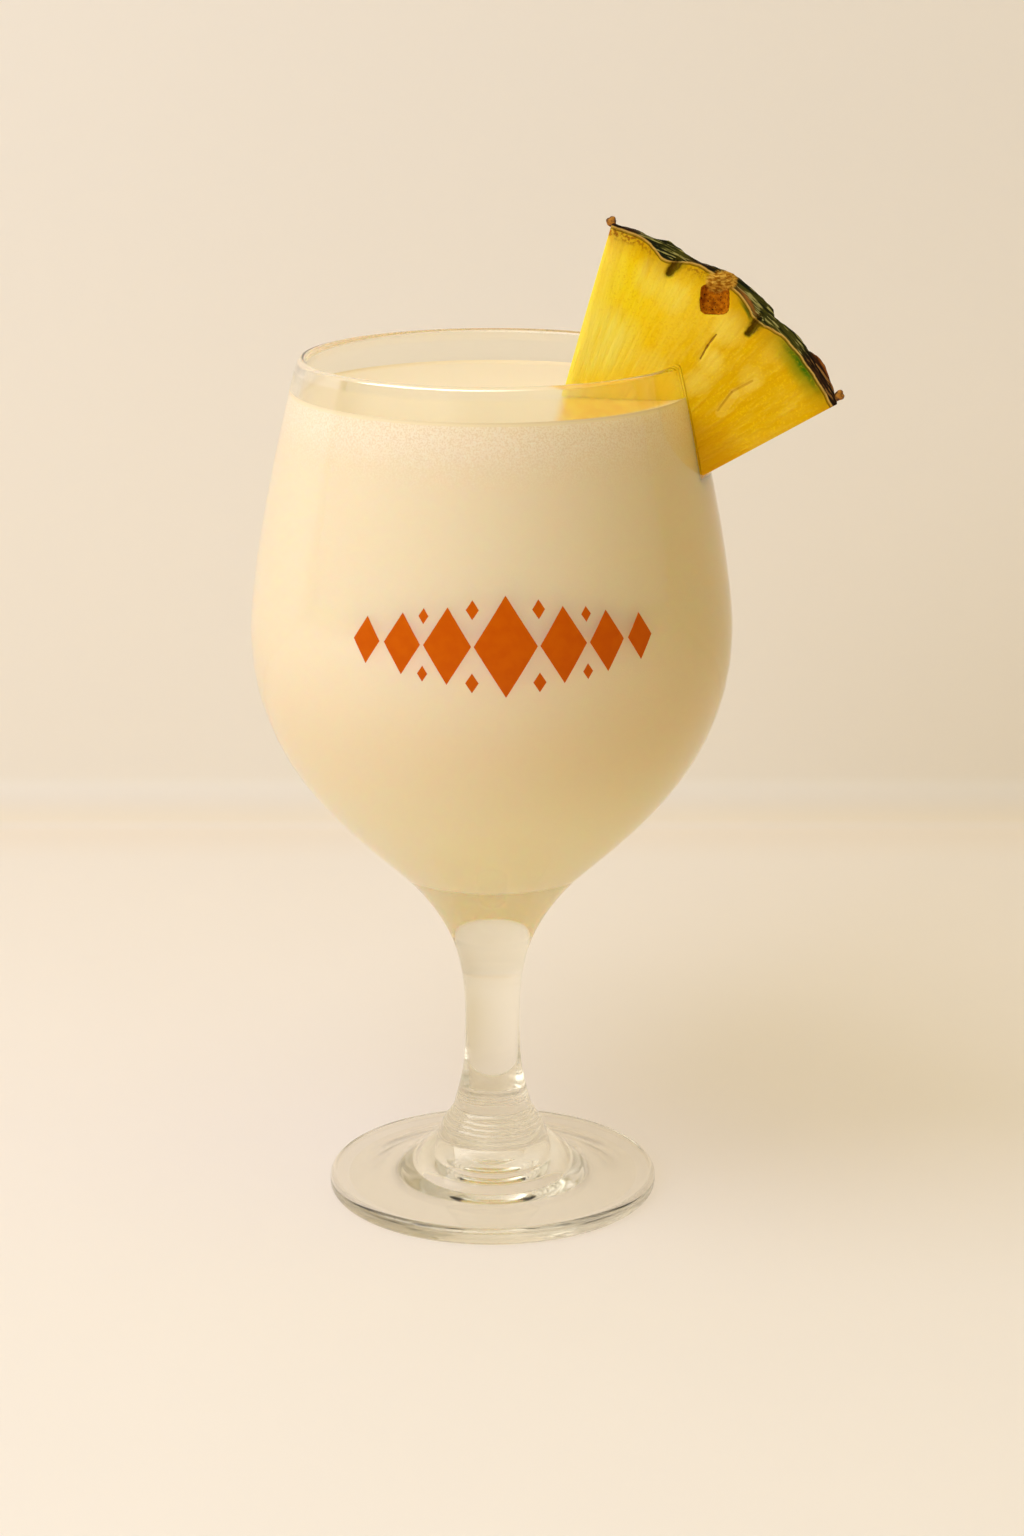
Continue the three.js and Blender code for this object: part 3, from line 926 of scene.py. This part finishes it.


# %% [markdown]
# The drink is cream, coconut and pineapple juice: an opaque, pale liquid in which light wanders some
# millimetres before it comes out, a little warmer. Subsurface scattering does that. Near its top the side
# shows the fine grain of froth against the glass. Top and bottom of the side are painted a little lighter
# than the middle: painted light. The surface has a faint sheen. In front of the wedge the top is tinted
# yellow: juice that runs from the fruit, and a painted glow of the light that the wedge throws on it.

# %% Drink's finish
LEVEL_MM = LEVEL / MM
FROTH_DEPTH = 14
JUICE_AND_GLOW_SIDE = 8.6
JUICE_AND_GLOW_SLANT = -0.03
PAINTED_LIGHT_FROM = 104.0
PAINTED_LIGHT_TO = 74.0
drink_finish, tree, shader = new_finish("creamy_drink")
places = object_places(tree)
from_axis, height_mm = round_axis(tree)
froth = step(tree, height_mm, LEVEL_MM - FROTH_DEPTH, LEVEL_MM - 1)
fine = grain(tree, places, 3.2, 3)
on_top = step(tree, height_mm, LEVEL_MM - 0.3, LEVEL_MM - 0.1)
rim_line = step(tree, height_mm, LEVEL_MM + 0.03, LEVEL_MM + 0.3)
wedge_places = SlicePlaces(tree)
ahead = maths(tree, "SUBTRACT", -HALF_MM, wedge_places.depth)
from_side = maths(tree, "SUBTRACT", wedge_places.across, JUICE_AND_GLOW_SIDE)
beside = maths(tree, "MULTIPLY_ADD", ahead, JUICE_AND_GLOW_SLANT, from_side)
off_wall = step(tree, from_axis, SURFACE_RADIUS / MM + 1.6, SURFACE_RADIUS / MM - 1)
# Juice and painted glow: the top is tinted yellow in front of the wedge, for juice from the fruit and for the
# light that the wedge throws on the drink
juice_and_glow = times(tree, step(tree, beside, -1.2, 1.2), step(tree, ahead, -0.5, 0.0), on_top, off_wall)
juice_and_glow_grain = long_grain(tree, places, (0.5, 0.12, 1.0), 3)
cream = paint(
    tree, colour(247, 231, 199),
    # Painted light: the upper side of the drink is painted lighter
    (step(tree, height_mm, LEVEL_MM - 9, LEVEL_MM - 2), colour(253, 237, 210)),
    (times(tree, step(tree, fine, 0.52, 0.4), froth, 0.4), colour(226, 200, 150)),
    (times(tree, step(tree, fine, 0.55, 0.68), froth), colour(252, 243, 220)),
    # Painted light: the drink is painted lighter towards the bottom
    (step(tree, height_mm, PAINTED_LIGHT_FROM, PAINTED_LIGHT_TO), colour(252, 244, 224)),
    (on_top, colour(248, 231, 192)),
    (juice_and_glow, blend(tree, step(tree, juice_and_glow_grain, 0.35, 0.65), colour(242, 188, 8), colour(248, 206, 34))),
    (rim_line, colour(242, 224, 184)),
)
fill(tree, shader, {
    "Base Color": cream,
    "Roughness": 0.3,
    "Specular IOR Level": 0.25,
    "Sheen Weight": 0.45,
    "Sheen Roughness": 0.25,
    "Subsurface Weight": times(tree, step(tree, froth, 0.0, 1.0, 1.0, 0.4), step(tree, rim_line, 1.0, 0.0)),
    "Subsurface Radius": (1.0, 0.7, 0.4),
    "Subsurface Scale": 5 * MM,
    "Normal": bump(tree, fine, 0.03),
})
dress(drink, drink_finish)

# %% Enamel's finish
enamel_finish, tree, shader = new_finish("orange_enamel")
enamel_places = object_places(tree)
mottle = step(tree, grain(tree, enamel_places, 0.4), 0.3, 0.7)
fill(tree, shader, {
    "Base Color": blend(tree, mottle, colour(202, 87, 0), colour(207, 94, 0)),
    "Roughness": 0.38,
    "Specular IOR Level": 0.1,
    "Normal": bump(tree, grain(tree, enamel_places, 2.5), 0.01),
})
for piece in ornament:
    dress(piece, enamel_finish)

# %% [markdown]
# Ripe flesh is a warm yellow, drawn into soft pale fibres that run from the core to the rind. It turns olive
# close under the rind, and there is a streak of fresh green near the right end. Inside the bowl the light that
# the drink throws up makes it lighter. Flesh lets light in a little way, so it gets subsurface scattering, and
# it is moist, so it has a soft gloss.

# %% Flesh
FLESH_LEFT = colour(253, 219, 16)
FLESH_RIGHT = colour(228, 183, 0)
FLESH_DEEP = colour(230, 182, 0)
FLESH_PALE = colour(250, 228, 96)
FLESH_GRAIN = colour(250, 216, 24)
FLESH_DEEP_AND_SHADED = colour(212, 154, 0)
# Each patch's place across and up from the tip, its reach and its share
PALE_PATCHES = [
    ((15.0, 43.0), 9.0, 1.5), ((24.8, 55.0), 4.5, 1.0), ((28.5, 51.5), 4.0, 0.9), ((39.0, 46.0), 4.2, 0.9),
    ((35.6, 40.0), 3.0, 0.9), ((33.2, 36.0), 3.0, 0.8), ((43.0, 37.0), 3.0, 0.5), ((24.0, 39.0), 4.0, 0.7),
]
DEEP_SHADED_CORNER = ((34.5, 22.5), 9.0)
slice_finish, tree, shader = new_finish("fresh_pineapple")
place = SlicePlaces(tree)
broad = long_grain(tree, place.polar, (0.2, 0.1, 0.1), 4)
streaks = long_grain(tree, place.polar, (0.7, 0.14, 0.3), 4)
threads = long_grain(tree, place.polar, (2.2, 0.5, 0.6), 4)
cells = grain(tree, place.flat, 2.6, 3)
flesh = paint(
    tree, FLESH_LEFT,
    (step(tree, place.angle, 18.0, 46.0), FLESH_RIGHT),
    (step(tree, broad, 0.45, 0.7, 0.0, 0.2), FLESH_PALE),
    (step(tree, broad, 0.52, 0.3, 0.0, 0.45), FLESH_DEEP),
    (step(tree, streaks, 0.5, 0.76, 0.0, 0.15), FLESH_PALE),
    (step(tree, threads, 0.5, 0.8, 0.0, 0.15), FLESH_PALE),
    (step(tree, cells, 0.48, 0.3, 0.0, 0.5), FLESH_DEEP),
    (step(tree, cells, 0.52, 0.7, 0.0, 0.5), FLESH_GRAIN),
)
for centre, reach, share in PALE_PATCHES:
    flesh = blend(tree, times(tree, place.spot(centre, reach), streaks, share), flesh, FLESH_PALE)
from_axis, height_mm = round_axis(tree)
within_rim = step(tree, from_axis, LIP_MIDDLE + 1, LIP_MIDDLE + 0.2)
in_bowl = times(tree, within_rim, step(tree, height_mm, HEIGHT_MM, HEIGHT_MM - 3))
# Painted light: the flesh is painted paler along its left cut edge
painted_left_light = step(tree, place.angle, SECTOR_START + 6, SECTOR_START)
flesh = paint(
    tree, flesh,
    # The lower right corner is a deeper amber, partly painted shade where glass and drink shadow it
    (times(tree, place.spot(*DEEP_SHADED_CORNER), 0.7), FLESH_DEEP_AND_SHADED),
    (times(tree, in_bowl, 0.6), colour(254, 216, 56)),
    (times(tree, painted_left_light, 0.6), FLESH_PALE),
)

# %% Rind's inner line
INNER_DISTANCE = 66.15
# Each dip's angle, its reach in degrees and its depth
DIPS = [(24.9, 3.0, 2.2), (42.8, 3.2, 1.6)]
inner = INNER_DISTANCE
for middle, reach, drop in DIPS:
    off = maths(tree, "DIVIDE", maths(tree, "SUBTRACT", place.angle, middle), reach)
    bell = maths(tree, "EXPONENT", times(tree, times(tree, off, off), -1.0))
    inner = maths(tree, "MULTIPLY_ADD", bell, -drop, inner)
wobble = long_grain(tree, place.polar, (0.5, 0.0, 0.3))
inner = maths(tree, "ADD", inner, maths(tree, "MULTIPLY_ADD", wobble, 0.5, -0.25))
past_line = maths(tree, "SUBTRACT", place.distance, inner)


def band(past, reach, angle, spread):
    """1 on the front, so far past the line and round an angle, falling to 0 a reach or a spread away."""
    return times(tree, place.hump(past_line, past, reach), place.hump(place.angle, angle, spread), place.front)


# %% Flesh under the rind
olive = step(tree, maths(tree, "ADD", past_line, times(tree, streaks, 2.0)), -4.5, 1.2)
mottle = long_grain(tree, place.flat, (1, 0.3, 1), 3, 1.6)
brown_band = times(tree, place.hump(past_line, -0.9, 1.5), step(tree, mottle, 0.42, 0.62))
brown_left = times(tree, brown_band, step(tree, place.angle, 26.0, 17.0))
brown_middle = times(tree, brown_band, place.hump(place.angle, 30.5, 4.5), 0.7)
flesh = paint(
    tree, flesh,
    (times(tree, olive, 0.62), colour(196, 150, 8)),
    (maths(tree, "MAXIMUM", brown_left, brown_middle), colour(156, 92, 8)),
    (times(tree, band(-1.2, 3.0, 53.0, 8.0), 0.8), colour(128, 140, 10)),
    (times(tree, band(-0.7, 1.0, 53.0, 8.0), step(tree, mottle, 0.25, 0.5), 0.95), colour(56, 110, 0)),
    (times(tree, band(-0.5, 0.6, 40.5, 3.2), 0.9), colour(52, 84, 10)),
)

# %% [markdown]
# The rind's cut edge shows dark green eyes with fine light lines along them, browner between the first groove
# and the dried flower, and nearly black at the right end, where its outer rim is orange-brown. A pale thin
# line parts it from the flesh. Over the eyes' outer faces the colours are the same, with tan grooves.

# %% Rind's colours
lines = long_grain(tree, place.polar, (0.14, 1.6, 0.8), 3)
fine_lines = long_grain(tree, place.polar, (0.3, 3.0, 1.6), 2)
green_rind = paint(
    tree, colour(16, 20, 4),
    (step(tree, lines, 0.42, 0.62), colour(68, 66, 18)),
    (step(tree, fine_lines, 0.53, 0.62, 0.0, 0.85), colour(164, 156, 88)),
)
brown_rind = paint(
    tree, colour(18, 10, 4),
    (step(tree, lines, 0.42, 0.64), colour(54, 31, 12)),
    (step(tree, fine_lines, 0.56, 0.66, 0.0, 0.75), colour(156, 112, 56)),
)
brown_share = maths(tree, "MAXIMUM", place.hump(place.angle, 30.6, 4.2), step(tree, place.angle, 50.5, 53.0))
brown_share = maths(tree, "MAXIMUM", brown_share, step(tree, place.angle, 20.5, 18.0))
edge_light = times(tree, step(tree, past_line, 1.6, 2.6), step(tree, fine_lines, 0.4, 0.6), brown_share, 0.5)
rind = paint(
    tree, green_rind,
    (brown_share, brown_rind),
    (edge_light, colour(160, 82, 24)),
    (band(0.75, 0.6, 39.6, 3.8), colour(150, 92, 36)),
)
in_rind = step(tree, past_line, -0.08, 0.08)
dark_line = place.hump(past_line, -0.22, 0.24)
pale_line = times(tree, place.hump(past_line, 0.16, 0.26), step(tree, fine_lines, 0.2, 0.4))
slice_colour = paint(
    tree, flesh,
    (in_rind, rind),
    (times(tree, dark_line, 0.75), colour(66, 44, 6)),
    (times(tree, pale_line, 0.9), colour(226, 180, 84)),
)

# %% Marks' colours
CLEFT_TAPER = 0.5
# Each coat's width, share and colour
CLEFT_COATS = [(3.2, 0.5, colour(150, 128, 4)), (2.1, 0.9, colour(84, 62, 2)), (0.9, 0.5, colour(140, 108, 14))]
cleft_rough = maths(tree, "MULTIPLY_ADD", grain(tree, place.flat, 1.1, 3), 1.0, -0.55)
thin_rough = times(tree, cleft_rough, 0.35)
in_flesh = step(tree, past_line, 0.3, -0.1)
for cleft in CLEFTS:
    for width, share, coat in CLEFT_COATS:
        inked = times(tree, place.stroke(cleft, width, cleft_rough, CLEFT_TAPER), in_flesh, share)
        slice_colour = blend(tree, inked, slice_colour, coat)
# Painted shade: the crack is drawn as a darker stroke, for the shade inside it
for stroke in CRACK:
    inked = times(tree, place.stroke(stroke, 0.34, thin_rough), 0.8)
    slice_colour = blend(tree, inked, slice_colour, colour(150, 92, 6))
# The crease is drawn as a darker stroke, painted shade in it, and a pale stroke beside it, a painted highlight
# along its lip
for (x0, z0), (x1, z1) in CREASE:
    beside = ((x0 + 0.5, z0 - 0.3), (x1 + 0.5, z1 - 0.3))
    slice_colour = paint(
        tree, slice_colour,
        (times(tree, place.stroke(beside, 1.8), 0.15), colour(253, 232, 120)),
        (times(tree, place.stroke(((x0, z0), (x1, z1)), 0.4), 0.5), colour(190, 132, 0)),
    )

# %% Dried flower of the eye
bark = paint(
    tree, colour(146, 72, 0),
    (step(tree, grain(tree, place.flat, 1.3, 3), 0.35, 0.65), colour(200, 118, 10)),
    (step(tree, cells, 0.57, 0.66), colour(48, 20, 4)),
)
shares = []
for value, centre, half in zip((place.across, place.up), EYE_CENTRE, EYE_HALF):
    off = maths(tree, "DIVIDE", maths(tree, "SUBTRACT", value, centre), half)
    shares.append(maths(tree, "POWER", maths(tree, "ABSOLUTE", off), 4.5))
eye_reach = maths(tree, "MULTIPLY_ADD", mottle, 0.7, maths(tree, "ADD", *shares))
eye_mask = times(tree, step(tree, eye_reach, 1.45, 1.3), place.front)
hairs = long_grain(tree, place.flat, (1.2, 1, 3.0), 3)
collar_colour = blend(tree, step(tree, hairs, 0.38, 0.6), colour(150, 93, 12), colour(214, 164, 60))
collar_rough = maths(tree, "MULTIPLY_ADD", mottle, 1.0, -0.5)
collar_mask = place.stroke(COLLAR_STROKE, COLLAR_WIDTH, collar_rough)
slice_colour = paint(tree, slice_colour, (eye_mask, bark), (collar_mask, collar_colour))

# %% Slice's gloss and relief
dry = maths(tree, "MAXIMUM", in_rind, maths(tree, "MAXIMUM", eye_mask, collar_mask))
fibre_bump = bump(tree, maths(tree, "ADD", threads, streaks), 0.12)
rind_relief = times(tree, maths(tree, "ADD", lines, fine_lines), dry)
fill(tree, shader, {
    "Base Color": slice_colour,
    "Roughness": step(tree, dry, 0.0, 1.0, 0.4, 0.62),
    "Specular IOR Level": 0.08,
    "Subsurface Weight": step(tree, dry, 0.0, 1.0, 0.85, 0.0),
    "Subsurface Radius": (1.0, 0.75, 0.15),
    "Subsurface Scale": 1.6 * MM,
    "Normal": bump(tree, rind_relief, 0.3, fibre_bump),
})
dress(wedge, slice_finish)

# %% Dry tips' finish
tip_finish, tree, shader = new_finish("dry_scale")
tip_grain = grain(tree, object_places(tree), 1.6, 3)
fill(tree, shader, {
    "Base Color": blend(tree, step(tree, tip_grain, 0.35, 0.6), colour(80, 44, 8), colour(176, 116, 36)),
    "Roughness": 0.7,
    "Normal": bump(tree, tip_grain, 0.25),
})
for tip in (left_tip, right_tip):
    dress(tip, tip_finish)

# %% [markdown]
# The backdrop is matt cream paper. Its wall is painted a little lighter than its floor: painted light. Where
# it turns up, warmer and darker tints along the corner are painted shade. What it throws back onto the glass is
# a deeper, more golden light than what the camera sees of it: a Light Path node gives diffuse rays another
# shader, as a gold reflector would. Seen from its rear it is see-through, so that the goblet can be looked at
# from all sides.

# %% Backdrop's finish
backdrop_finish, tree, shader = new_finish("cream_paper")
paper = axes(tree, put(tree, "TexCoord").outputs["Object"])
near_cove = step(tree, paper["Y"], WALL_BEHIND - COVE_ROUND - 0.03, WALL_BEHIND - COVE_ROUND)
low_cove_shade = times(tree, near_cove, step(tree, paper["Z"], COVE_ROUND * 0.4, 0.0))
cove_starts = step(tree, paper["Z"], 0.0, COVE_ROUND * 0.15)
cove_shade = times(tree, cove_starts, step(tree, paper["Z"], COVE_ROUND * 0.9, COVE_ROUND * 0.15))
paper_colour = paint(
    tree, colour(235, 230, 222),
    (grain(tree, object_places(tree), 0.02, 2), colour(237, 232, 224)),
    # Painted light: the wall is painted lighter than the floor
    (step(tree, paper["Z"], 0.0, COVE_ROUND), colour(248, 243, 228)),
    # Painted shade: warmer, darker tints where the floor turns up into the wall
    (low_cove_shade, colour(235, 227, 215)),
    (cove_shade, colour(236, 225, 204)),
)
fill(tree, shader, {"Base Color": paper_colour, "Roughness": 0.85})
bounce = put(tree, "BsdfDiffuse", {"Color": colour(241, 224, 190)})
front_side = swap(tree, put(tree, "LightPath").outputs["Is Diffuse Ray"], shader, bounce)
swap(tree, put(tree, "NewGeometry").outputs["Backfacing"], front_side, put(tree, "BsdfTransparent"))
dress(backdrop, backdrop_finish)

# %% [markdown]
# The light is soft: one large lamp from the left and the front, high up, and a golden glow from above that
# fills the shadows. Below that glow the room is dark, so the bowl's far side is lit by the floor alone, which
# models it. The camera sees a pale sky instead, and what the glass mirrors and refracts has the lamp in it as
# a soft bright patch. A view transform of Standard keeps the pale colours pale.

# %% Light
KEY_AZIMUTH = -50
KEY_HEIGHT = 41
KEY_AWAY = 1.6
KEY_SIZE = 1.7
KEY_POWER = 31.5
KEY_COLOUR = (0.667, 0.723, 1.0)
GOLDEN_GLOW = (1.21, 1.0, 0.3, 1)
MIRRORED_LAMP = (5, 4.85, 4.7, 1)
REFRACTED_LAMP = (2.2, 2.06, 1.86, 1)
key_turn, key_rise = math.radians(KEY_AZIMUTH), math.radians(KEY_HEIGHT)
key_flat = math.cos(key_rise)
key_way = Vector((math.sin(key_turn) * key_flat, -math.cos(key_turn) * key_flat, math.sin(key_rise)))
key_aim = Vector((AXIS, 0, HEIGHT / 2))
bpy.ops.object.light_add(type="AREA", location=key_aim + key_way * KEY_AWAY)
key = bpy.context.object
key.rotation_euler = key_way.to_track_quat("Z", "Y").to_euler()
key.data.size = KEY_SIZE
key.data.energy = KEY_POWER
key.data.color = KEY_COLOUR
key.visible_glossy = key.visible_transmission = False

world = bpy.data.worlds.new("soft_room")
bpy.context.scene.world = world
world.use_nodes = True
tree = world.node_tree
right, back, high = axes(tree, put(tree, "TexCoord").outputs["Generated"])
dome = blend(tree, step(tree, high, 0.4, 1.0), (0, 0, 0, 1), GOLDEN_GLOW)
sky = blend(tree, step(tree, high, -0.1, 0.9), (0.5, 0.43, 0.33, 1), (0.95, 0.88, 0.77, 1))
lamp_height = times(tree, step(tree, high, 0.4, 0.65), step(tree, high, 0.95, 0.75))
lamp_side = times(tree, step(tree, right, 0.5, -0.35), step(tree, back, 0.55, 0.2))
mirrored = blend(tree, times(tree, lamp_height, lamp_side), sky, MIRRORED_LAMP)
soft_height = times(tree, step(tree, high, -0.05, 0.3), step(tree, high, 0.75, 0.35))
soft_side = times(tree, step(tree, right, -0.15, -0.5), step(tree, back, 0.1, -0.3))
refracted = blend(tree, step(tree, high, 0.2, 0.9), (0.48, 0.41, 0.28, 1), (0.92, 0.86, 0.74, 1))
refracted = blend(tree, times(tree, soft_height, soft_side), refracted, REFRACTED_LAMP)
path = put(tree, "LightPath").outputs
glow = paint(
    tree, dome,
    (path["Is Camera Ray"], sky),
    (path["Is Glossy Ray"], mirrored),
    (path["Is Transmission Ray"], refracted),
)
fill(tree, tree.nodes["Background"], {"Color": glow})

# %% Rendering
scene = bpy.context.scene
scene.view_settings.view_transform = "Standard"
scene.cycles.max_bounces = 24
scene.cycles.transmission_bounces = 20
scene.cycles.transparent_max_bounces = 24
scene.cycles.glossy_bounces = 8
scene.cycles.diffuse_bounces = 4

# %% [markdown]
# Last comes what the library needs to know: everything rides on the one body, and each dressed piece stands
# for its solid.

# %% Bodies
for piece, node, slot in (
    (goblet, "glass", "glass"),
    (drink, "drink", "drink"),
    (wedge, "pineapple_wedge", "pineapple"),
):
    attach(piece, "root")
    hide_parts(node)
for tip in (left_tip, right_tip):
    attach(tip, "root")
for piece in ornament:
    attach(piece, "root")
